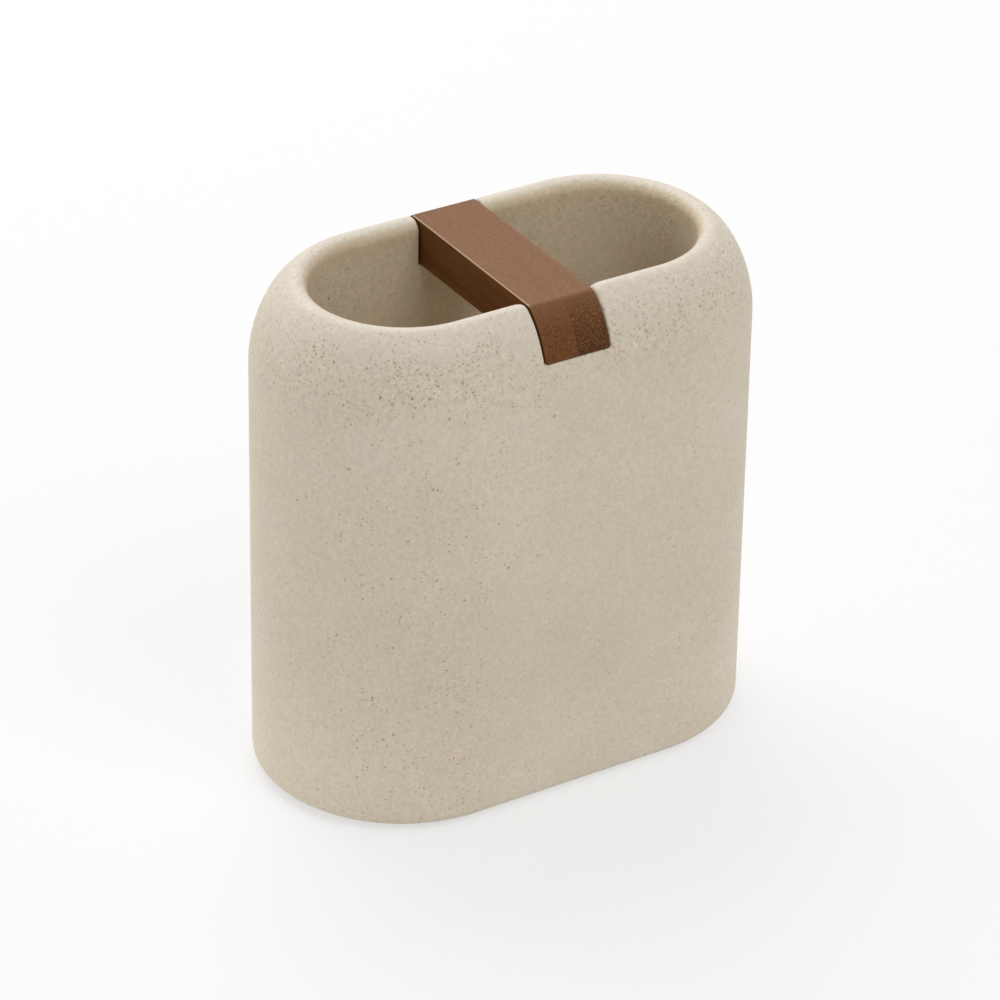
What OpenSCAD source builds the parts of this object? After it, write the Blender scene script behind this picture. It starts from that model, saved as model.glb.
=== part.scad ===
// Toothbrush holder: a thick-walled cast stone cup with round ends, a wooden divider bar
// that drops into two notches across the mouth, and four pads under the foot.
// Millimetres. The origin is the centre of the standing face, under the pads.
// X runs along the cup, Y across it with the front at -Y, and Z points up.

/* [Cup] */
// Length of the cup between the tops of its round ends
cup_length = 110; // [90:1:140]
// Depth of the cup between the tops of its long walls
cup_depth = 62.5; // [56:0.5:76]
// Height of the stone body from its underside to the rim
cup_height = 112; // [80:0.5:130]
// Lean of the walls, which makes the foot wider than the top, in degrees
wall_draft = 0.2; // [0:0.05:1.5]
// Radius of the edge around the foot
foot_radius = 2.5; // [1:0.5:6]

/* [Rim] */
// Radius of the lower, slow part of the rounded shoulder
shoulder_radius = 28; // [24:1:40]
// Angle that the slow part turns through before the rim's own curve takes over, in degrees
shoulder_sweep = 31; // [14:1:34]
// Radius of the upper, quick part of the shoulder
rim_radius = 15; // [11:0.5:18]
// Thickness of the wall at the rim
rim_wall = 12; // [9.5:0.1:14.5]
// Radius that rounds the inner edge of the rim
lip_radius = 2.6; // [1:0.1:3.5]

/* [Hollow] */
// Thickness of the stone under the hollow
floor_thickness = 9; // [5:0.5:20]
// Radius between the floor of the hollow and its walls
hollow_corner_radius = 5; // [2:0.5:12]

/* [Divider] */
// Width of the divider bar, over both of its strips
divider_width = 15; // [10:0.5:22]
// Depth of the notches below the rim
notch_depth = 10.2; // [6:0.1:16]
// How far the top of the bar lies below the rim
divider_recess = 0.1; // [0:0.05:1]
// Gap between the bar and each side of its notches
divider_clearance = 0.3; // [0.1:0.05:1]
// Bevel along the bar's long edges
arris_bevel = 0.4; // [0.2:0.05:1]
// Distance of the bar from the middle of the cup, towards the right end
divider_shift = -0.8; // [-8:0.2:8]

/* [Pads] */
// Diameter of a pad
pad_diameter = 12; // [8:0.5:16]
// Thickness of a pad
pad_thickness = 1.6; // [1:0.1:3]
// Depth of the shallow recess that a pad is stuck into
pad_recess = 0.6; // [0.2:0.1:0.9]
// Gap around a pad in its recess
pad_clearance = 0.2; // [0.1:0.05:0.5]
// Distance from the cup's outline to the middle of a pad
pad_inset = 12; // [10:0.5:16]

/* [Hidden] */
$fn = 96;

// How far cuts run past the faces that they cut
overrun = 1;
// How far an arc of the outline stands outside the line or arc before it, so that they cross
// cleanly where they meet
join_ease = 0.003;
// How far the tool that cuts an arc reaches from its centre, in radii
arc_reach_share = 3;
// Direction of the pads from the centres of the round ends, in degrees
pad_angle = 45;

half_depth = cup_depth / 2;
// Middle of each round end, along X
end_x = (cup_length - cup_depth) / 2;
hollow_x = half_depth - rim_wall;
// Height of the stone's underside above the standing face
stand = pad_thickness - pad_recess;

// The outline of the wall, as distance from the cup's middle plane and height above its
// underside. Each arc runs on into the next, so their centres follow from one another.
function toward(angle) = [cos(angle), sin(angle)];
lip_centre = [hollow_x + lip_radius, cup_height - lip_radius];
shoulder_x = half_depth - shoulder_radius;
rim_x = shoulder_x + (shoulder_radius - rim_radius) * cos(shoulder_sweep);
rim_end = acos((lip_centre[0] - rim_x) / (rim_radius - lip_radius));
rim_centre = lip_centre - (rim_radius - lip_radius) * toward(rim_end);
shoulder_centre = rim_centre - (shoulder_radius - rim_radius) * toward(shoulder_sweep);
wall_reach = shoulder_centre * toward(wall_draft) + shoulder_radius;
function wall_x(height) = (wall_reach - height * sin(wall_draft)) / cos(wall_draft);
foot_centre = [(wall_reach - foot_radius * (1 + sin(wall_draft))) / cos(wall_draft), foot_radius];
corner_centre = [hollow_x - hollow_corner_radius, floor_thickness + hollow_corner_radius];

// The divider bar
notch_floor = cup_height - notch_depth;
divider_top = cup_height - divider_recess;
strip_width = divider_width / 2;

// What lies outside an arc, between two directions from its centre
module beyond_arc(centre, radius, from, to) {
    reach = arc_reach_share * radius;
    difference() {
        polygon([centre, centre + reach * toward(from), centre + reach * toward((from + to) / 2),
            centre + reach * toward(to)]);
        translate(centre) circle(r = radius);
    }
}

// Half of the space inside the cup's outer surface, filled to the rim. The rim's inner edge
// is rounded down to the hollow when lip_sweep is 180, and stays level when it is 90.
module filled_section(lip_sweep) {
    difference() {
        polygon([[0, 0], [wall_x(0), 0], [wall_x(cup_height), cup_height], [0, cup_height]]);
        beyond_arc(foot_centre, foot_radius + join_ease, -90, wall_draft);
        beyond_arc(shoulder_centre, shoulder_radius + join_ease, wall_draft, 90);
        beyond_arc(rim_centre, rim_radius + 2 * join_ease, shoulder_sweep, 90);
        beyond_arc(lip_centre, lip_radius + 3 * join_ease, rim_end, lip_sweep);
    }
}

// Half of the hollow, open at the top
module hollow_section() {
    difference() {
        polygon([[0, floor_thickness], [hollow_x, floor_thickness], [hollow_x, cup_height + overrun],
            [0, cup_height + overrun]]);
        beyond_arc(corner_centre, hollow_corner_radius + join_ease, -90, 0);
    }
}

// Half of the cup's section, from its middle plane outwards
module cup_section() {
    difference() {
        filled_section(180);
        hollow_section();
    }
}

// Extrudes a half section and its mirror image along X
module along_x(start, length) {
    translate([start, 0, 0])
        rotate([90, 0, 90])
            linear_extrude(length) {
                children();
                mirror([1, 0]) children();
            }
}

// Carries a half section all round the plan: two round ends and the straight stretch between them
module around_plan() {
    along_x(-end_x, 2 * end_x) children();
    for (side = [-1, 1])
        translate([side * end_x, 0, 0])
            rotate([0, 0, -90 * side])
                rotate_extrude(angle = 180) children();
}

// Puts its children under the four pads, or one of them
module at_pad(x_side, y_side) {
    reach = half_depth - pad_inset;
    translate([x_side * (end_x + reach * cos(pad_angle)), y_side * reach * sin(pad_angle), 0]) children();
}

module cup_body() {
    notch_width = divider_width + 2 * divider_clearance;
    color([0.79, 0.75, 0.69])
        difference() {
            translate([0, 0, stand]) around_plan() cup_section();
            translate([divider_shift - notch_width / 2, -cup_depth, stand + notch_floor])
                cube([notch_width, 2 * cup_depth, notch_depth + overrun]);
            for (x_side = [-1, 1], y_side = [-1, 1])
                at_pad(x_side, y_side)
                    cylinder(d = pad_diameter + 2 * pad_clearance, h = pad_thickness);
        }
}

// One strip of the bar. side is -1 for the left one and 1 for the right one.
module divider_strip(side) {
    height = divider_top - notch_floor;
    outer = side * strip_width;
    inset = side * (strip_width - arris_bevel);
    translate([divider_shift, 0, stand])
        intersection() {
            along_x(-strip_width, divider_width) filled_section(90);
            translate([0, cup_depth, notch_floor])
                rotate([90, 0, 0])
                    linear_extrude(2 * cup_depth)
                        polygon([[0, 0], [inset, 0], [outer, arris_bevel], [outer, height - arris_bevel],
                            [inset, height], [0, height]]);
        }
}

module divider_left_strip() {
    color([0.50, 0.35, 0.26]) divider_strip(-1);
}

module divider_right_strip() {
    color([0.44, 0.29, 0.21]) divider_strip(1);
}

module foot_pad(x_side, y_side) {
    color([0.25, 0.24, 0.23])
        at_pad(x_side, y_side) cylinder(d = pad_diameter, h = pad_thickness);
}

module foot_pad_front_left() {
    foot_pad(-1, -1);
}

module foot_pad_front_right() {
    foot_pad(1, -1);
}

module foot_pad_back_left() {
    foot_pad(-1, 1);
}

module foot_pad_back_right() {
    foot_pad(1, 1);
}

cup_body();
divider_left_strip();
divider_right_strip();
foot_pad_front_left();
foot_pad_front_right();
foot_pad_back_left();
foot_pad_back_right();
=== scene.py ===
"""Toothbrush holder: the looks of a cast stone cup with a wooden divider bar across its mouth.

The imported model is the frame. Each operator builds finished pieces in the place of the plain
ones: the cup with softly worn notches, the two strips of the bar, the four pads, and last the
stage with its floor, lamps and camera. Lengths are in metres. In the materials, and where a name
says so, they are in millimetres.
"""

import math

import bmesh
import bpy
from bpy.props import FloatProperty, FloatVectorProperty, PointerProperty
from mathutils import Matrix, Vector


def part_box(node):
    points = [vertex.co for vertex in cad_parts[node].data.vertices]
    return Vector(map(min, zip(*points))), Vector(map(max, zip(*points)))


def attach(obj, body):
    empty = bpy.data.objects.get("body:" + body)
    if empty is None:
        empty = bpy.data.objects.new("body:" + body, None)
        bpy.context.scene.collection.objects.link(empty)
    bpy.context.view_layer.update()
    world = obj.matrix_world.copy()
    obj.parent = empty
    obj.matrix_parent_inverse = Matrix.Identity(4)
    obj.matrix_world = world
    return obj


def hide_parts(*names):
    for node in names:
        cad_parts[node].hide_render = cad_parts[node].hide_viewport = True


bl_info = {
    "name": "Toothbrush Holder",
    "version": (1, 0, 0),
    "blender": (4, 5, 0),
    "location": "View3D > Sidebar > Holder",
    "description": "Builds a cast stone toothbrush holder with a wooden divider bar",
    "category": "Object",
}

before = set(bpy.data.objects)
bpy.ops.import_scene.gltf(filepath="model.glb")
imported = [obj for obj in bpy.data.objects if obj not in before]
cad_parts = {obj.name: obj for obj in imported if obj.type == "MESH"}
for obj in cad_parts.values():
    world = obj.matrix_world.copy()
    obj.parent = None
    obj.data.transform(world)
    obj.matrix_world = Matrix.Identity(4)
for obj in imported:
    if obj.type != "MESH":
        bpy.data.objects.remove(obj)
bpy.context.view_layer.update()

MM = 0.001
CUP = "cup"
DIVIDER = "divider"
PADS = ("foot_pad_front_left", "foot_pad_front_right", "foot_pad_back_left", "foot_pad_back_right")

# How finely each stretch of the cup's section is divided
FOOT_STEPS = 8
WALL_STEPS = 12
SHOULDER_STEPS = 6
RIM_STEPS = 12
LIP_STEPS = 9
SPAN_STEPS = 6
CORNER_STEPS = 8
# How finely the round ends of the plan, each side of a notch, and a notch are divided
END_STEPS = 64
SIDE_STEPS = 12
NOTCH_STEPS = 6
# How much closer together the sections stand beside a notch than far from it. 1 is evenly.
SIDE_CROWDING = 1.3
# How finely rounded edges and pads are divided
EDGE_STEPS = 4
PAD_STEPS = 64
# The bevel profile that makes an edge round
ROUND_PROFILE = 0.5
# How worn the rim is beside the back notch and beside the front one, each on the left and the right
NOTCH_WEAR = ((0.2, 0.3), (0.5, 1))
# Faces that meet at a sharper turn than this are shaded apart
SHARP_TURN = math.radians(40)


def screen(red, green, blue):
    """A colour given as it shows on a screen, from 0 to 255, in linear light by the sRGB curve."""
    parts = []
    for value in (red, green, blue):
        level = value / 255
        parts.append(level / 12.92 if level <= 0.04045 else ((level + 0.055) / 1.055) ** 2.4)
    return tuple(parts)


def length(title, words, millimetres):
    """A property that holds a length, with its default given in millimetres."""
    return FloatProperty(name=title, description=words, default=millimetres * MM, unit="LENGTH", precision=5)


def angle(title, words, degrees):
    """A property that holds an angle, with its default given in degrees."""
    return FloatProperty(name=title, description=words, default=math.radians(degrees), subtype="ANGLE")


def colour(title, words, red, green, blue):
    """A property that holds a colour, with its default given as it shows on a screen."""
    return FloatVectorProperty(
        name=title, description=words, default=screen(red, green, blue), subtype="COLOR", min=0, max=1
    )


def tint(title, words, red, green, blue):
    """A property that holds what the three parts of a colour are multiplied by."""
    return FloatVectorProperty(name=title, description=words, default=(red, green, blue), min=0, max=1.2)


def brightness(title, words, value):
    """A property that holds how bright a light leaves a white face that looks straight at it."""
    return FloatProperty(name=title, description=words, default=value, min=0)


class HolderSizes(bpy.types.PropertyGroup):
    """Sizes of the cup, the bar and the pads that the frame's boxes don't give"""

    cup_depth: length("Cup depth", "Depth of the cup between the tops of its long walls", 62.5)
    wall_lean: angle("Wall lean", "Lean of the walls, which makes the foot wider than the top", 0.2)
    foot_radius: length("Foot radius", "Radius of the edge around the foot", 2.5)
    shoulder_radius: length("Shoulder radius", "Radius of the slow part of the shoulder", 28)
    shoulder_sweep: angle("Shoulder sweep", "Angle that the slow part of the shoulder turns through", 31)
    rim_radius: length("Rim radius", "Radius of the quick part of the shoulder", 15)
    rim_wall: length("Rim wall", "Thickness of the wall at the rim", 12)
    lip_radius: length("Lip radius", "Radius that rounds the inner edge of the rim", 2.6)
    floor_thickness: length("Floor thickness", "Thickness of the stone under the hollow", 9)
    corner_radius: length("Corner radius", "Radius between the hollow's floor and its walls", 5)
    notch_clearance: length("Notch clearance", "Gap between the bar and each side of its notches", 0.3)
    notch_sag: length("Notch sag", "How far the rim drops beside a notch, where it is most worn", 0.9)
    notch_reach: length("Sag reach", "How far from a notch the most worn rim starts to drop", 2.4)
    notch_edge: length("Notch edge", "Radius of the worn edges around the notches", 0.5)
    bar_edge: length("Bar edge", "Radius of the bar's outer edges", 0.3)
    pad_clearance: length("Pad clearance", "Gap around a pad in its recess", 0.2)
    pad_edge: length("Pad edge", "Radius of the lower edge of a pad", 0.4)


class HolderColours(bpy.types.PropertyGroup):
    """Colours of the stone, the wood and the pads"""

    stone: colour("Stone", "Main colour of the stone", 223, 211, 191)
    stone_warm: colour("Warm stone", "Colour of the stone's warmer clouds", 219, 205, 182)
    # Painted sheen: a paler colour laid on stone that faces up, for the light that falls on it from above
    stone_top_sheen: colour("Stone rim", "Colour of the stone where it faces up", 226, 215, 198)
    speck_dark: colour("Dark speck", "Colour of the darkest specks in the stone", 146, 100, 56)
    speck_ochre: colour("Ochre speck", "Colour of the palest specks in the stone", 202, 158, 104)
    # Painted light: warms and pales the hollow, for light thrown about inside it
    hollow_bounce_light: tint("Hollow tint", "Multiplies the stone's colour in the hollow", 1.02, 1.0, 0.955)
    # Painted shade: a darker, warmer band just inside the rim
    lip_shade_tint: tint("Lip tint", "Multiplies the hollow's colour just inside the rim", 0.985, 0.945, 0.88)
    # Painted light: pales the stone at the foot, for light thrown up from the floor
    foot_bounce_light: tint("Foot tint", "Multiplies the stone's colour at the foot", 1.12, 1.13, 1.15)
    wood: colour("Wood", "Colour of the bar's top, along the grain", 138, 98, 69)
    wood_streak: colour("Wood streak", "Colour of the darker streaks along the bar", 134, 94, 65)
    # Painted shade: the bar's sides are darker because less light falls on them than on the top, not because
    # they took more oil
    wood_side_shade: colour("Wood side", "Colour of the bar's sides, which have taken more oil", 104, 63, 25)
    end_fine: colour("Fine end grain", "Colour of the left strip's ends", 117, 70, 35)
    end_coarse: colour("Coarse end grain", "Colour of the right strip's ends", 100, 58, 22)
    fibre: colour("Fibres", "Colour of the pale fibres in the ends", 144, 95, 58)
    pore: colour("Pores", "Colour of the dark pores in the ends", 58, 32, 12)
    # Partly real wear and partly a painted highlight along the bar's long upper edges
    worn: colour("Worn edge", "Colour of the bar's long edges, where the finish has worn", 208, 178, 148)
    pad: colour("Pad", "Colour of the rubber pads", 62, 60, 57)
    pad_dust: colour("Pad dust", "Colour of the dust on the pads", 104, 99, 92)


class HolderStage(bpy.types.PropertyGroup):
    """The camera and the lamps"""

    azimuth: angle("Azimuth", "How far the camera stands to the left of straight in front", 31.955)
    elevation: angle("Elevation", "How far the camera looks down", 30.629)
    roll: angle("Roll", "How far the camera leans", 1.015)
    distance: length("Distance", "Distance from the camera to the point that it looks at", 951.27)
    focus_height: length("Height looked at", "Height of the point that the camera looks at", 56)
    slide_right: length("Slide right", "How far that point moves to the right in the view", -0.066)
    slide_up: length("Slide up", "How far that point moves up in the view", -1.605)
    lens: FloatProperty(
        name="Lens", description="Focal length in millimetres on a sensor 36 mm wide", default=164.15, min=1
    )
    sky: brightness("Sky", "Even light from all round", 0.41)
    back_lamp: brightness("Back lamp", "Broad soft light above and behind", 0.54)
    front_lamp: brightness("Front lamp", "Soft light above and in front", 0.235)
    left_lamp: brightness("Left lamp", "Low soft light behind and to the left", 0.125)


class Flow:
    """A value that flows through a shader. Python's arithmetic on it adds Math nodes."""

    def __init__(self, shader, socket):
        self.shader = shader
        self.socket = socket

    def worked(self, operation, *values):
        """What a Math node makes of some values. This one counts only if it is among them."""
        return self.shader.add("ShaderNodeMath", {"operation": operation}, dict(enumerate(values)))

    def __add__(self, other):
        return self.worked("ADD", self, other)

    def __sub__(self, other):
        return self.worked("SUBTRACT", self, other)

    def __rsub__(self, other):
        return self.worked("SUBTRACT", other, self)

    def __mul__(self, other):
        return self.worked("MULTIPLY", self, other)

    def __truediv__(self, other):
        return self.worked("DIVIDE", self, other)

    def __abs__(self):
        return self.worked("ABSOLUTE", self)

    __radd__ = __add__
    __rmul__ = __mul__

    def beside(self, output):
        """Another output of the node that this value comes from."""
        return Flow(self.shader, self.socket.node.outputs[output])


# Where the Mix node has its two colours and its result
MIX_FIRST = 6
MIX_SECOND = 7
MIX_RESULT = 2


class Shader:
    """The nodes of a material or of the world, added one at a time."""

    def __init__(self, owner):
        owner.use_nodes = True
        self.tree = owner.node_tree
        self.tree.nodes.clear()

    def add(self, kind, settings=None, inputs=None, output=0):
        """Adds a node: first its settings, then a number, colour or flow for each socket in inputs."""
        node = self.tree.nodes.new(kind)
        for name, value in (settings or {}).items():
            setattr(node, name, value)
        for socket, value in (inputs or {}).items():
            if isinstance(value, Flow):
                self.tree.links.new(value.socket, node.inputs[socket])
            else:
                node.inputs[socket].default_value = value
        return Flow(self, node.outputs[output]) if node.outputs else None

    def place_mm(self):
        """The point on the surface in the row frame, in millimetres."""
        point = self.add("ShaderNodeTexCoord", output="Object")
        return self.scaled(point, 1 / MM)

    def scaled(self, vector, factor):
        """A vector or colour, all its parts times one number."""
        return self.add("ShaderNodeVectorMath", {"operation": "SCALE"}, {0: vector, "Scale": factor})

    def stretched(self, vector, factors):
        """A vector, each of its parts times its own number."""
        return self.add("ShaderNodeVectorMath", {"operation": "MULTIPLY"}, {0: vector, 1: factors})

    def part(self, vector, axis):
        """One part of a vector: X, Y or Z."""
        return self.add("ShaderNodeSeparateXYZ", None, {0: vector}, output=axis)

    def facing(self, axis):
        """How far the surface faces along an axis of the row frame, from -1 to 1."""
        return self.part(self.add("ShaderNodeTexCoord", output="Normal"), axis)

    def noise(self, place, size_mm, detail=2.0, roughness=0.5):
        """Smooth noise around 0.5, with features of about that size."""
        inputs = {"Vector": place, "Scale": 1 / size_mm, "Detail": detail, "Roughness": roughness}
        return self.add("ShaderNodeTexNoise", {"noise_dimensions": "3D"}, inputs)

    def jostled(self, place, size_mm, reach_mm):
        """A point moved about by noise, which makes shapes that are drawn with it uneven."""
        push = self.scaled(self.noise(place, size_mm, detail=1).beside("Color"), reach_mm)
        return self.add("ShaderNodeVectorMath", {"operation": "ADD"}, {0: place, 1: push})

    def cells(self, place, size_mm):
        """Scattered points: the distance to the nearest in millimetres, and three chances for each."""
        inputs = {"Vector": place, "Scale": 1 / size_mm}
        found = self.add("ShaderNodeTexVoronoi", {"voronoi_dimensions": "3D"}, inputs, output="Distance")
        chance = self.add("ShaderNodeSeparateColor", None, {0: found.beside("Color")})
        return found * size_mm, chance, chance.beside(1), chance.beside(2)

    def rise(self, value, start, end):
        """0 at start and 1 at end, with a smooth rise between, also where end is the lower one."""
        inputs = {"Value": value, "From Min": start, "From Max": end}
        return self.add("ShaderNodeMapRange", {"interpolation_type": "SMOOTHSTEP"}, inputs)

    def mix(self, factor, first, second):
        """A colour between two colours."""
        inputs = {0: factor, MIX_FIRST: opaque(first), MIX_SECOND: opaque(second)}
        return self.add("ShaderNodeMix", {"data_type": "RGBA"}, inputs, output=MIX_RESULT)

    def surface(self, base, roughness, height, depth_mm, specular=0.5):
        """Finishes a material. The height, from 0 to 1, is depth_mm deep."""
        bump = self.add("ShaderNodeBump", None, {"Height": height, "Distance": depth_mm * MM, "Strength": 1})
        inputs = {"Base Color": base, "Roughness": roughness, "Specular IOR Level": specular, "Normal": bump}
        shader = self.add("ShaderNodeBsdfPrincipled", None, inputs)
        self.add("ShaderNodeOutputMaterial", None, {"Surface": shader})


def opaque(tone):
    """A colour with its fourth part, or a flow as it is."""
    return tone if isinstance(tone, Flow) else (*tone, 1)


# Heights between which painted light pales the stone, downwards, towards the foot, for light thrown up from
# the floor
FOOT_BOUNCE_LIGHT = (42, 3)
# Depths below the rim between which the hollow takes the painted shade just inside the lip, darker and
# warmer
LIP_SHADE_DEPTHS = (7, 3)
# How much higher the crowd of specks on the shoulder lies for each millimetre to the right
SHOULDER_CLIMB = 0.04
# Depths at which a crowd of specks hasn't begun, and is at its fullest. The first pair is counted from
# the turn of the shoulder and lies above it, and the others are counted from the rim.
SHOULDER_CROWD_FOOT = (-2, -8)
SHOULDER_CROWD_TOP = (0.5, 4.5)
RIGHT_CROWD_FOOT = (17, 10)
RIGHT_CROWD_TOP = (0, 3)
# Places along X at which a crowd of specks hasn't begun, and is at its fullest
RIGHT_CROWD = (3, 16)
LEFT_CROWD = (-6, -28)
FAR_LEFT_CROWD = (-22, -42)
LEFT_CROWD_END = (-54, -46)


def under(level, depths):
    """The heights that lie so far below a level."""
    return [level - depth for depth in depths]


def cast_stone(colours, section):
    """Matt sand-coloured stone: soft clouds, fine grain, brown specks in crowds, and painted light: paler at
    the foot, warmer and paler in the hollow, painted shade just inside the rim, and a painted sheen where it
    faces up.
    """
    material = bpy.data.materials.new("Cast stone")
    shader = Shader(material)
    place = shader.place_mm()
    along = shader.part(place, "X")
    height = shader.part(place, "Z")
    top = section.top / MM
    turn_in = section.shoulder.y / MM

    clouds = shader.noise(place, size_mm=20, detail=2)
    mottle = shader.noise(place, size_mm=1.7, detail=2, roughness=0.6)
    grain = shader.noise(place, size_mm=0.85, detail=1)
    warmth = shader.rise(clouds * 0.75 + mottle * 0.25, 0.30, 0.70)
    base = shader.mix(warmth, colours.stone, colours.stone_warm)
    # Painted light that pales the stone towards the foot
    base = shader.mix(shader.rise(height, *FOOT_BOUNCE_LIGHT), base, shader.stretched(base, colours.foot_bounce_light))
    within = hollow_share(shader, place, section)
    # Painted light in the hollow, warmer and paler
    base = shader.mix(within, base, shader.stretched(base, colours.hollow_bounce_light))
    # Painted shade just inside the rim
    lip = within * shader.rise(height, *under(top, LIP_SHADE_DEPTHS))
    base = shader.mix(lip, base, shader.stretched(base, colours.lip_shade_tint))
    # Painted sheen on the surfaces that face up, outside the hollow
    top_sheen = shader.rise(shader.facing("Z") + (clouds - 0.5) * 0.3, 0.1, 0.8) * (1 - within)
    base = shader.mix(top_sheen, base, colours.stone_top_sheen)

    # The specks gather on the shoulder, on the upper right, and all down the left short of the end
    sloped = height - along * SHOULDER_CLIMB
    shoulder = shader.rise(sloped, *under(turn_in, SHOULDER_CROWD_FOOT))
    shoulder = shoulder * shader.rise(sloped, *under(top, SHOULDER_CROWD_TOP))
    on_right = shader.rise(along, *RIGHT_CROWD) * shader.rise(height, *under(top, RIGHT_CROWD_FOOT))
    on_right = on_right * shader.rise(height, *under(top, RIGHT_CROWD_TOP)) * (1 - within)
    on_left = shader.rise(along, *LEFT_CROWD) * shader.rise(along, *LEFT_CROWD_END)
    far_left = shader.rise(along, *FAR_LEFT_CROWD)

    patches = shader.rise(shader.noise(place, size_mm=11, detail=2), 0.38, 0.62)
    coarse = 1 + shoulder * patches * 0.5
    base = shader.scaled(base, 1 + ((mottle - 0.5) * 0.20 + (grain - 0.5) * 0.22) * coarse)
    crowd = 0.02 + patches * 0.10 + on_left * (0.12 + patches * 0.28)
    crowd = crowd + shoulder * (0.24 + patches * 0.46 + far_left * 0.28)
    crowd = crowd * (1 - within * 0.5)
    many = crowd * 1.15 + on_right * (0.55 + patches * 0.45)
    few = crowd * 0.45 + on_right * 0.4
    uneven = shader.jostled(place, size_mm=0.8, reach_mm=0.7)
    fine, fine_hue = speck_layer(shader, uneven, many, spacing_mm=0.75, small_mm=0.21, large_mm=0.35)
    large, large_hue = speck_layer(shader, uneven, few, spacing_mm=1.7, small_mm=0.36, large_mm=0.58)
    specks = fine.worked("MAXIMUM", fine, large)
    hue = fine_hue.worked("MAXIMUM", fine_hue, large_hue) + on_right * 0.25 + shoulder * 0.15
    tone = shader.mix(hue, colours.speck_dark, colours.speck_ochre)
    base = shader.mix(specks * (0.56 + (shoulder + on_right + on_left) * 0.12), base, tone)

    relief = mottle * 0.35 + grain * 0.35 + (1 - specks) * 0.3
    shader.surface(base, 0.54 + (mottle - 0.5) * 0.12, relief, depth_mm=0.04)
    return material


def hollow_share(shader, place, section):
    """1 on the hollow's walls and inside the lip, 0 outside, from the distance to the middle line."""
    past_end = abs(shader.part(place, "X")) - section.end_x / MM
    past_end = past_end.worked("MAXIMUM", past_end, 0)
    across = shader.part(place, "Y")
    away = past_end * past_end + across * across
    depth = away.worked("SQRT", away) - section.hollow / MM
    turn = section.sizes.lip_radius / MM
    return shader.rise(depth, turn * 0.65, turn * 0.2)


def speck_layer(shader, place, crowd, spacing_mm, small_mm, large_mm):
    """Specks of one size range, most of them faint: how strong they are, and how ochre each one is."""
    distance, chance, spread, hue = shader.cells(place, spacing_mm)
    radius = spread * (large_mm - small_mm) + small_mm
    strength = shader.rise(chance / crowd, 1, 0.4)
    dots = shader.rise(distance / radius, 1, 0.2) * strength
    return dots, shader.rise(hue, 0.3, 0.8) * shader.rise(dots, 0, 0.1)


# What a point is multiplied by before the wood's grain is looked up, so that it runs along the bar
GRAIN_STRETCH = (1, 0.06, 1)
# Depth below the top of the bar where painted shade on its ends begins, growing darker downwards
LOW_SHADE_FROM = 3


def oiled_wood(name, colours, end_tone, grain_share, low_shade):
    """Oiled brown wood: fine grain along the bar, speckled ends, painted shade on the sides and low on the
    ends, and long edges painted pale, partly as wear and partly as a highlight.

    The grain of the ends is as strong as grain_share says, and the last argument is how much painted shade
    darkens them downwards, where less light falls from above.
    """
    material = bpy.data.materials.new(name)
    shader = Shader(material)
    place = shader.place_mm()
    drawn = shader.stretched(place, GRAIN_STRETCH)
    streaks = shader.noise(drawn, size_mm=1.6, detail=3, roughness=0.6)
    threads = shader.noise(drawn, size_mm=0.3, detail=2)
    pores = shader.noise(place, size_mm=0.6, detail=2)
    along = shader.mix(shader.rise(streaks, 0.4, 0.75), colours.wood, colours.wood_streak)
    # Painted shade on the bar's sides, which get less light than its top; the colour named oiled here is
    # that shade
    side = shader.rise(abs(shader.facing("X")), 0.5, 0.95)
    oiled = shader.scaled(colours.wood_side_shade, 0.84 + shader.rise(streaks, 0.35, 0.65) * 0.32)
    along = shader.mix(side, along, oiled)
    along = shader.scaled(along, 1 + (threads - 0.5) * 0.3 + (pores - 0.5) * 0.8)

    cut = shader.noise(place, size_mm=0.45, detail=3, roughness=0.7)
    flecks = shader.noise(place, size_mm=0.35, detail=2, roughness=0.6)
    ends = shader.mix(shader.rise(flecks, 0.46, 0.66) * grain_share, end_tone, colours.fibre)
    ends = shader.mix(shader.rise(cut, 0.53, 0.36) * grain_share, ends, colours.pore)
    bottom, crest = (corner.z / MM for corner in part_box("divider_left_strip"))
    # Painted shade: the ends darken downwards, where less light falls on them from above
    low_shading = shader.rise(shader.part(place, "Z"), crest - LOW_SHADE_FROM, bottom) * low_shade
    ends = shader.scaled(ends, 1 - low_shading)
    at_end = shader.rise(abs(shader.facing("Y")) + (cut - 0.5) * 0.5, 0.28, 0.95)
    base = shader.mix(at_end, along, ends)

    # Both upper edges are painted pale: partly worn finish, partly a painted highlight, which is strongest
    # along the left one
    corner = shader.rise(abs(shader.facing("X")), 0.12, 0.4) * shader.rise(shader.facing("Z"), 0.12, 0.4)
    level = shader.rise(abs(shader.facing("Y")), 0.4, 0.1)
    left_highlight = 0.2 + shader.rise(shader.facing("X"), 0.1, -0.1) * 0.8
    rubbed_and_highlight = corner * level * left_highlight * shader.rise(streaks + (pores - 0.5) * 0.4, 0.25, 0.45)
    base = shader.mix(rubbed_and_highlight * 0.85, base, colours.worn)
    relief = threads * 0.4 + streaks * 0.3 + pores * 0.3
    shader.surface(base, 0.58 + (threads - 0.5) * 0.2, relief, depth_mm=0.03, specular=0.16)
    return material


def soft_rubber(colours):
    """Matt grey rubber with a fine skin and a little dust."""
    material = bpy.data.materials.new("Soft rubber")
    shader = Shader(material)
    place = shader.place_mm()
    skin = shader.noise(place, size_mm=0.25, detail=2)
    dust = shader.rise(shader.noise(place, size_mm=3, detail=3), 0.35, 0.75)
    base = shader.scaled(shader.mix(dust * 0.5, colours.pad, colours.pad_dust), 0.9 + skin * 0.2)
    shader.surface(base, 0.65 + (skin - 0.5) * 0.2, skin, depth_mm=0.02)
    return material


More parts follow.
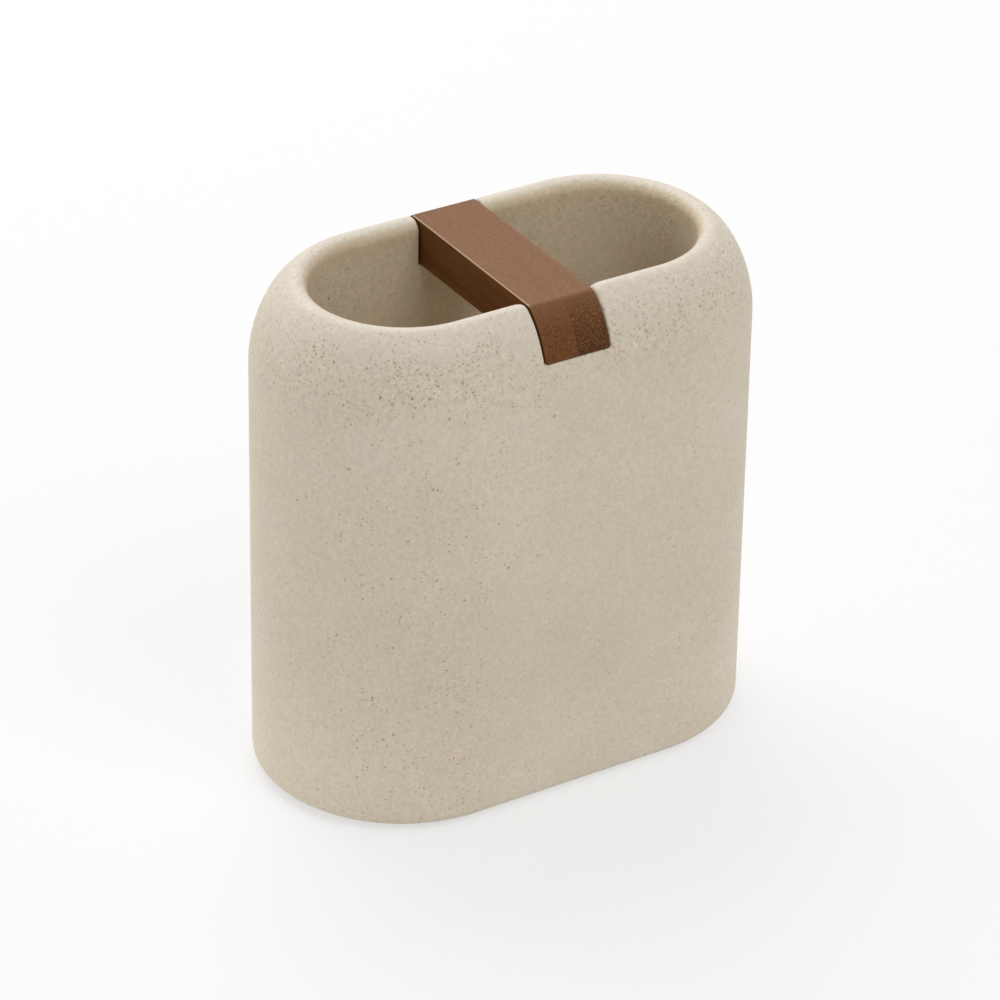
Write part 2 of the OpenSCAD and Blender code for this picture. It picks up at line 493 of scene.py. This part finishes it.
def toward(turn):
    """The direction at an angle, on paper: across and up."""
    return Vector((math.cos(turn), math.sin(turn)))


def arc(centre, radius, start, end, steps):
    """Points along an arc, without its first one."""
    return [centre + radius * toward(start + (end - start) * (i + 1) / steps) for i in range(steps)]


def run(start, end, steps):
    """Points along a straight line, without its first one."""
    return [start.lerp(end, (i + 1) / steps) for i in range(steps)]


class Section:
    """Half of the cup's section: distance from its middle plane, and height in the row frame."""

    def __init__(self, sizes):
        self.sizes = sizes
        low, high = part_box("cup_body")
        strip_low, strip_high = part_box("divider_left_strip")
        self.base = low.z
        self.end_x = high.x - high.y
        self.notch = strip_low.z
        self.seam = strip_high.x
        self.bar_top = strip_high.z
        self.top = high.z
        self.hollow = sizes.cup_depth / 2 - sizes.rim_wall
        # Each arc runs on into the next, so their centres follow from one another, from the lip outwards
        self.lip = Vector((self.hollow + sizes.lip_radius, high.z - sizes.lip_radius))
        spare = sizes.shoulder_radius - sizes.rim_radius
        reach = sizes.rim_radius - sizes.lip_radius
        rim_x = sizes.cup_depth / 2 - sizes.shoulder_radius + spare * math.cos(sizes.shoulder_sweep)
        self.rim_end = math.acos((self.lip.x - rim_x) / reach)
        self.rim = self.lip - reach * toward(self.rim_end)
        self.shoulder = self.rim - spare * toward(sizes.shoulder_sweep)
        self.foot = Vector((0, self.base + sizes.foot_radius))
        self.foot.x = self.wall(self.foot.y) - sizes.foot_radius / math.cos(sizes.wall_lean)
        self.corner = Vector((self.hollow - sizes.corner_radius, self.base + sizes.floor_thickness))
        self.corner.y += sizes.corner_radius

    def wall(self, height):
        """Distance of the leaning wall at a height."""
        lean = self.sizes.wall_lean
        past = self.shoulder.dot(toward(lean)) + self.sizes.shoulder_radius
        return (past - height * math.sin(lean)) / math.cos(lean)

    def over_notch(self, last_turn):
        """The outline from the height of the notches' floor over the shoulder, up to a turn of the lip."""
        sizes = self.sizes
        turn = math.asin((self.notch - self.shoulder.y) / sizes.shoulder_radius)
        start = self.shoulder + sizes.shoulder_radius * toward(turn)
        points = [start]
        points += arc(self.shoulder, sizes.shoulder_radius, turn, sizes.shoulder_sweep, SHOULDER_STEPS)
        points += arc(self.rim, sizes.rim_radius, sizes.shoulder_sweep, self.rim_end, RIM_STEPS)
        points += arc(self.lip, sizes.lip_radius, self.rim_end, last_turn, LIP_STEPS)
        return points

    def whole(self):
        """The outline up outside and down inside, and its two points at the height of the notches' floor."""
        sizes = self.sizes
        below = math.asin((self.notch - self.shoulder.y) / sizes.shoulder_radius)
        points = [self.foot + sizes.foot_radius * toward(-math.pi / 2)]
        points += arc(self.foot, sizes.foot_radius, -math.pi / 2, sizes.wall_lean, FOOT_STEPS)
        wall_top = self.shoulder + sizes.shoulder_radius * toward(sizes.wall_lean)
        points += run(points[-1], wall_top, WALL_STEPS)
        points += arc(self.shoulder, sizes.shoulder_radius, sizes.wall_lean, below, SHOULDER_STEPS)
        first = len(points) - 1
        points += self.over_notch(math.pi)[1:]
        points += run(points[-1], Vector((self.hollow, self.notch)), SPAN_STEPS)
        last = len(points) - 1
        points += run(points[-1], Vector((self.hollow, self.corner.y)), WALL_STEPS)
        points += arc(self.corner, sizes.corner_radius, 0, -math.pi / 2, CORNER_STEPS)
        return points, first, last


def plan_stations(end_x, notch_left, notch_right):
    """Where the section stands round the cup, from the front's left end: X of its middle, and its turn.

    On the long sides the sections stand closer together beside the notches, where the rim is worn.
    """
    shares = [1 - (1 - i / SIDE_STEPS) ** SIDE_CROWDING for i in range(SIDE_STEPS)]
    front = [-end_x + (notch_left + end_x) * share for share in shares]
    front += [notch_left + (notch_right - notch_left) * i / NOTCH_STEPS for i in range(NOTCH_STEPS)]
    front += [end_x + (notch_right - end_x) * share for share in (1, *reversed(shares))]
    quarter = math.pi / 2
    turns = [-quarter + math.pi * i / END_STEPS for i in range(1, END_STEPS)]
    stations = [(x, -quarter) for x in front]
    stations += [(end_x, turn) for turn in turns]
    stations += [(x, quarter) for x in reversed(front)]
    stations += [(-end_x, turn + math.pi) for turn in turns]
    return stations


def add_piece(name, shape, material, body, node):
    """Makes a piece from a bmesh. It stands for a CAD node and rides on that node's body."""
    bmesh.ops.recalc_face_normals(shape, faces=shape.faces)
    mesh = bpy.data.meshes.new(name)
    shape.to_mesh(mesh)
    shape.free()
    mesh.materials.append(material)
    mesh.shade_smooth()
    mesh.set_sharp_from_angle(angle=SHARP_TURN)
    piece = bpy.data.objects.new(name, mesh)
    bpy.context.scene.collection.objects.link(piece)
    even = piece.modifiers.new("Even normals", "WEIGHTED_NORMAL")
    even.keep_sharp = True
    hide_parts(node)
    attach(piece, body)
    return piece


def round_edges(shape, edges, radius):
    """Rounds some edges of a bmesh."""
    bmesh.ops.bevel(
        shape, geom=edges, offset=radius, segments=EDGE_STEPS, profile=ROUND_PROFILE,
        affect="EDGES", clamp_overlap=True
    )


def edges_along(shape, path):
    """The edges between neighbours in a list of vertices."""
    return [shape.edges.get(pair) for pair in zip(path, path[1:])]


def add_ring(shape, middle, radius, height, steps):
    """A level ring of vertices."""
    turns = [2 * math.pi * i / steps for i in range(steps)]
    spots = [(middle.x + radius * math.cos(turn), middle.y + radius * math.sin(turn)) for turn in turns]
    return [shape.verts.new((x, y, height)) for x, y in spots]


def join_rings(shape, first, second):
    """Faces between two rings with as many vertices."""
    for i in range(len(first)):
        shape.faces.new((first[i - 1], first[i], second[i], second[i - 1]))


def add_underside(shape, ring, sizes):
    """The cup's underside, with a shallow recess for each pad."""
    base = ring[0].co.z
    rims = edges_along(shape, [*ring, ring[0]])
    for node in PADS:
        low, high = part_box(node)
        radius = (high.x - low.x) / 2 + sizes.pad_clearance
        mouth = add_ring(shape, (low + high) / 2, radius, base, PAD_STEPS)
        ceiling = add_ring(shape, (low + high) / 2, radius, high.z, PAD_STEPS)
        join_rings(shape, mouth, ceiling)
        shape.faces.new(ceiling)
        rims += edges_along(shape, [*mouth, mouth[0]])
    bmesh.ops.triangle_fill(shape, use_beauty=True, edges=rims)


def rim_sag(sizes, wear, beside):
    """How far the worn rim drops at a distance beside a notch: less further off, and at last nothing."""
    reach = sizes.notch_reach * (1 + wear) / 2
    return sizes.notch_sag * wear * max(1 - beside / reach, 0) ** 2


def stone_cup(sizes):
    """The cup as one closed surface: its section carried round the plan, cut away at the two notches."""
    section = Section(sizes)
    notch_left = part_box("divider_left_strip")[0].x - sizes.notch_clearance
    notch_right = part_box("divider_right_strip")[1].x + sizes.notch_clearance
    outline, first, last = section.whole()
    stations = plan_stations(section.end_x, notch_left, notch_right)
    shape = bmesh.new()
    rings = []
    for x, turn in stations:
        out = toward(turn)
        # The nearest notch is the back one or the front one, and this is its left side or its right
        wear = NOTCH_WEAR[out.y < 0][x > section.seam]
        sag = rim_sag(sizes, wear, max(notch_left - x, x - notch_right, 0))
        heights = [p.y - sag * max(p.y - section.notch, 0) / (section.top - section.notch) for p in outline]
        spots = [(x + p.x * out.x, p.x * out.y, height) for p, height in zip(outline, heights)]
        rings.append([shape.verts.new(spot) for spot in spots])
    # The rings where the two notches start and end
    long_side = 2 * SIDE_STEPS + NOTCH_STEPS + 1
    starts = (SIDE_STEPS, long_side + END_STEPS - 1 + SIDE_STEPS)
    cuts = [(start, start + NOTCH_STEPS) for start in starts]
    worn = []
    for i, ahead in enumerate(rings):
        behind = rings[i - 1]
        cut = any(left < i <= right for left, right in cuts)
        for row in range(len(outline) - 1):
            if not (cut and first <= row < last):
                shape.faces.new((behind[row], ahead[row], ahead[row + 1], behind[row + 1]))
        if cut:
            shape.faces.new((behind[first], ahead[first], ahead[last], behind[last]))
            worn += [(behind[first], ahead[first]), (behind[last], ahead[last])]
        if any(i in pair for pair in cuts):
            shape.faces.new(ahead[first:last + 1])
            worn += zip(ahead[first:last], ahead[first + 1:last + 1])
    shape.faces.new([ring[-1] for ring in rings])
    add_underside(shape, [ring[0] for ring in rings], sizes)
    loose = [v for v in shape.verts if not v.link_faces]
    bmesh.ops.delete(shape, geom=loose, context="VERTS")
    bmesh.ops.recalc_face_normals(shape, faces=shape.faces)
    round_edges(shape, [shape.edges.get(pair) for pair in worn], sizes.notch_edge)
    return shape


def bar_strip(sizes, seam_x, outer_x):
    """One strip of the bar. Its ends follow the cup's shoulder, and its outer edges are rounded."""
    section = Section(sizes)
    top_turn = math.asin((section.bar_top - section.lip.y) / sizes.lip_radius)
    end = section.over_notch(top_turn)
    outline = [(-p.x, p.y) for p in end] + [(p.x, p.y) for p in reversed(end)]
    shape = bmesh.new()
    seam = [shape.verts.new((seam_x, y, z)) for y, z in outline]
    outer = [shape.verts.new((outer_x, y, z)) for y, z in outline]
    join_rings(shape, seam, outer)
    shape.faces.new(seam)
    shape.faces.new(outer)
    bmesh.ops.recalc_face_normals(shape, faces=shape.faces)
    round_edges(shape, edges_along(shape, [*outer, outer[0]]), sizes.bar_edge)
    return shape


def rubber_pad(sizes, node):
    """A round pad with a softened lower edge, flat underneath."""
    low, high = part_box(node)
    middle = (low + high) / 2
    radius = (high.x - low.x) / 2
    edge = sizes.pad_edge
    shape = bmesh.new()
    turns = [math.pi / 2 * i / EDGE_STEPS for i in range(EDGE_STEPS + 1)]
    spots = [(radius - edge + edge * math.sin(turn), low.z + edge - edge * math.cos(turn)) for turn in turns]
    spots.append((radius, high.z))
    rings = [add_ring(shape, middle, reach, height, PAD_STEPS) for reach, height in spots]
    for below, above in zip(rings, rings[1:]):
        join_rings(shape, below, above)
    shape.faces.new(rings[0])
    shape.faces.new(rings[-1])
    return shape


class HOLDER_OT_cup(bpy.types.Operator):
    """Build the cast stone cup"""

    bl_idname = "holder.cup"
    bl_label = "Build the cup"

    def execute(self, context):
        sizes = context.scene.holder_sizes
        material = cast_stone(context.scene.holder_colours, Section(sizes))
        add_piece("stone_cup", stone_cup(sizes), material, CUP, "cup_body")
        return {"FINISHED"}


class HOLDER_OT_bar(bpy.types.Operator):
    """Build the two strips of the divider bar"""

    bl_idname = "holder.bar"
    bl_label = "Build the divider bar"

    def execute(self, context):
        sizes = context.scene.holder_sizes
        colours = context.scene.holder_colours
        left_low, left_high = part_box("divider_left_strip")
        right_low, right_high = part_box("divider_right_strip")
        fine = oiled_wood("Fine oiled wood", colours, colours.end_fine, grain_share=0.7, low_shade=0.05)
        coarse = oiled_wood("Coarse oiled wood", colours, colours.end_coarse, grain_share=1, low_shade=0.28)
        left = bar_strip(sizes, left_high.x, left_low.x)
        right = bar_strip(sizes, right_low.x, right_high.x)
        add_piece("bar_left_strip", left, fine, DIVIDER, "divider_left_strip")
        add_piece("bar_right_strip", right, coarse, DIVIDER, "divider_right_strip")
        return {"FINISHED"}


class HOLDER_OT_pads(bpy.types.Operator):
    """Build the four rubber pads under the cup"""

    bl_idname = "holder.pads"
    bl_label = "Build the pads"

    def execute(self, context):
        material = soft_rubber(context.scene.holder_colours)
        for node in PADS:
            shape = rubber_pad(context.scene.holder_sizes, node)
            add_piece(node.replace("foot_pad", "rubber_pad"), shape, material, CUP, node)
        return {"FINISHED"}


# How far the floor reaches each way, and how far it lies under the pads
FLOOR_REACH = 6.0
FLOOR_DROP = 0.0001
# How pale the floor is for the light that it throws on the cup
FLOOR_TONE = 0.97
# The share of the floor's look that glows, which fades the shadow
FLOOR_GLOW = 0.6
WHITE = (1, 1, 1)
# Where each lamp stands and how wide it is, and the point that they all look at
BACK_LAMP = (Vector((0.1, 0.9, 1.2)), 1.2)
FRONT_LAMP = (Vector((0.2, -0.9, 1.3)), 0.8)
LEFT_LAMP = (Vector((-1.3, 0.9, 0.3)), 0.8)
LAMP_TARGET = Vector((0, 0, 0.06))
SENSOR_WIDTH_MM = 36
# Nothing nearer to the camera than this is seen
NEAR_LIMIT = 0.01


def add_lamp(name, place, size, strength):
    """A square soft lamp that looks at the cup."""
    data = bpy.data.lights.new(name, "AREA")
    data.shape = "SQUARE"
    data.size = size
    away = place - LAMP_TARGET
    data.energy = strength * (math.pi * away.length) ** 2
    lamp = bpy.data.objects.new(name, data)
    lamp.location = place
    lamp.rotation_mode = "QUATERNION"
    lamp.rotation_quaternion = (-away).to_track_quat("-Z", "Y")
    bpy.context.scene.collection.objects.link(lamp)


def seen_directly(shader):
    """1 for rays from the camera and for those that gloss or glass sends on, 0 for light on the object."""
    path = shader.add("ShaderNodeLightPath", output="Is Camera Ray")
    shown = path.worked("MAXIMUM", path, path.beside("Is Glossy Ray"))
    return shown.worked("MAXIMUM", shown, path.beside("Is Transmission Ray"))


def white_sky(world, strength):
    """An even sky: white where it is seen, and as strong as given where it lights the object."""
    shader = Shader(world)
    light = shader.add("ShaderNodeBackground", None, {"Color": opaque(WHITE), "Strength": strength})
    white = shader.add("ShaderNodeBackground", None, {"Color": opaque(WHITE), "Strength": 1})
    both = shader.add("ShaderNodeMixShader", None, {0: seen_directly(shader), 1: light, 2: white})
    shader.add("ShaderNodeOutputWorld", None, {"Surface": both})


def white_floor():
    """A plain pale floor that shows white, keeps a soft shadow, and is clear from below."""
    material = bpy.data.materials.new("Plain floor")
    shader = Shader(material)
    lit = shader.add("ShaderNodeBsdfDiffuse", None, {"Color": opaque([FLOOR_TONE] * 3)})
    matt = shader.add("ShaderNodeBsdfDiffuse", None, {"Color": opaque(WHITE)})
    glow = shader.add("ShaderNodeEmission", None, {"Color": opaque(WHITE), "Strength": 1})
    shown = shader.add("ShaderNodeMixShader", None, {0: FLOOR_GLOW, 1: matt, 2: glow})
    both = shader.add("ShaderNodeMixShader", None, {0: seen_directly(shader), 1: lit, 2: shown})
    clear = shader.add("ShaderNodeBsdfTransparent")
    back = shader.add("ShaderNodeNewGeometry", output="Backfacing")
    whole = shader.add("ShaderNodeMixShader", None, {0: back, 1: both, 2: clear})
    shader.add("ShaderNodeOutputMaterial", None, {"Surface": whole})
    return material


def add_camera(stage):
    """The camera at the photograph's angle."""
    turn, rise = stage.azimuth, stage.elevation
    back = Vector((-math.sin(turn) * math.cos(rise), -math.cos(turn) * math.cos(rise), math.sin(rise)))
    right = Vector((0, 0, 1)).cross(back).normalized()
    up = back.cross(right)
    target = Vector((0, 0, stage.focus_height)) + right * stage.slide_right + up * stage.slide_up
    leaned_right = right * math.cos(stage.roll) + up * math.sin(stage.roll)
    leaned_up = up * math.cos(stage.roll) - right * math.sin(stage.roll)
    camera = bpy.data.objects.new("Camera", bpy.data.cameras.new("Camera"))
    camera.data.lens = stage.lens
    camera.data.sensor_width = SENSOR_WIDTH_MM
    camera.data.clip_start = NEAR_LIMIT
    camera.matrix_world = (
        Matrix.Translation(target + back * stage.distance)
        @ Matrix((leaned_right, leaned_up, back)).transposed().to_4x4()
    )
    bpy.context.scene.collection.objects.link(camera)
    bpy.context.scene.camera = camera


class HOLDER_OT_stage(bpy.types.Operator):
    """Set up the floor, the lamps and the camera"""

    bl_idname = "holder.stage"
    bl_label = "Set the stage"

    def execute(self, context):
        scene = context.scene
        stage = scene.holder_stage
        scene.view_settings.view_transform = "Standard"
        scene.world = scene.world or bpy.data.worlds.new("World")
        white_sky(scene.world, stage.sky)
        mesh = bpy.data.meshes.new("plain_floor")
        corners = [(-1, -1), (1, -1), (1, 1), (-1, 1)]
        points = [(x * FLOOR_REACH, y * FLOOR_REACH, -FLOOR_DROP) for x, y in corners]
        mesh.from_pydata(points, [], [(0, 1, 2, 3)])
        mesh.materials.append(white_floor())
        floor = bpy.data.objects.new("plain_floor", mesh)
        scene.collection.objects.link(floor)
        add_lamp("Back lamp", *BACK_LAMP, stage.back_lamp)
        add_lamp("Front lamp", *FRONT_LAMP, stage.front_lamp)
        add_lamp("Left lamp", *LEFT_LAMP, stage.left_lamp)
        add_camera(stage)
        return {"FINISHED"}


class HOLDER_PT_panel(bpy.types.Panel):
    """The holder's sizes, colours and steps"""

    bl_idname = "HOLDER_PT_panel"
    bl_label = "Toothbrush holder"
    bl_space_type = "VIEW_3D"
    bl_region_type = "UI"
    bl_category = "Holder"

    def draw(self, context):
        layout = self.layout
        for group in (context.scene.holder_sizes, context.scene.holder_colours, context.scene.holder_stage):
            column = layout.column(align=True)
            for name in group.bl_rna.properties.keys():
                if name not in ("rna_type", "name"):
                    column.prop(group, name)
        for operator in OPERATORS:
            layout.operator(operator.bl_idname)


GROUPS = {"holder_sizes": HolderSizes, "holder_colours": HolderColours, "holder_stage": HolderStage}
OPERATORS = (HOLDER_OT_cup, HOLDER_OT_bar, HOLDER_OT_pads, HOLDER_OT_stage)
CLASSES = (*GROUPS.values(), *OPERATORS, HOLDER_PT_panel)


def register():
    for item in CLASSES:
        bpy.utils.register_class(item)
    for name, group in GROUPS.items():
        setattr(bpy.types.Scene, name, PointerProperty(type=group))


def unregister():
    for name in GROUPS:
        delattr(bpy.types.Scene, name)
    for item in reversed(CLASSES):
        bpy.utils.unregister_class(item)


def main():
    register()
    bpy.ops.holder.cup()
    bpy.ops.holder.bar()
    bpy.ops.holder.pads()
    bpy.ops.holder.stage()


if __name__ == "__main__":
    main()
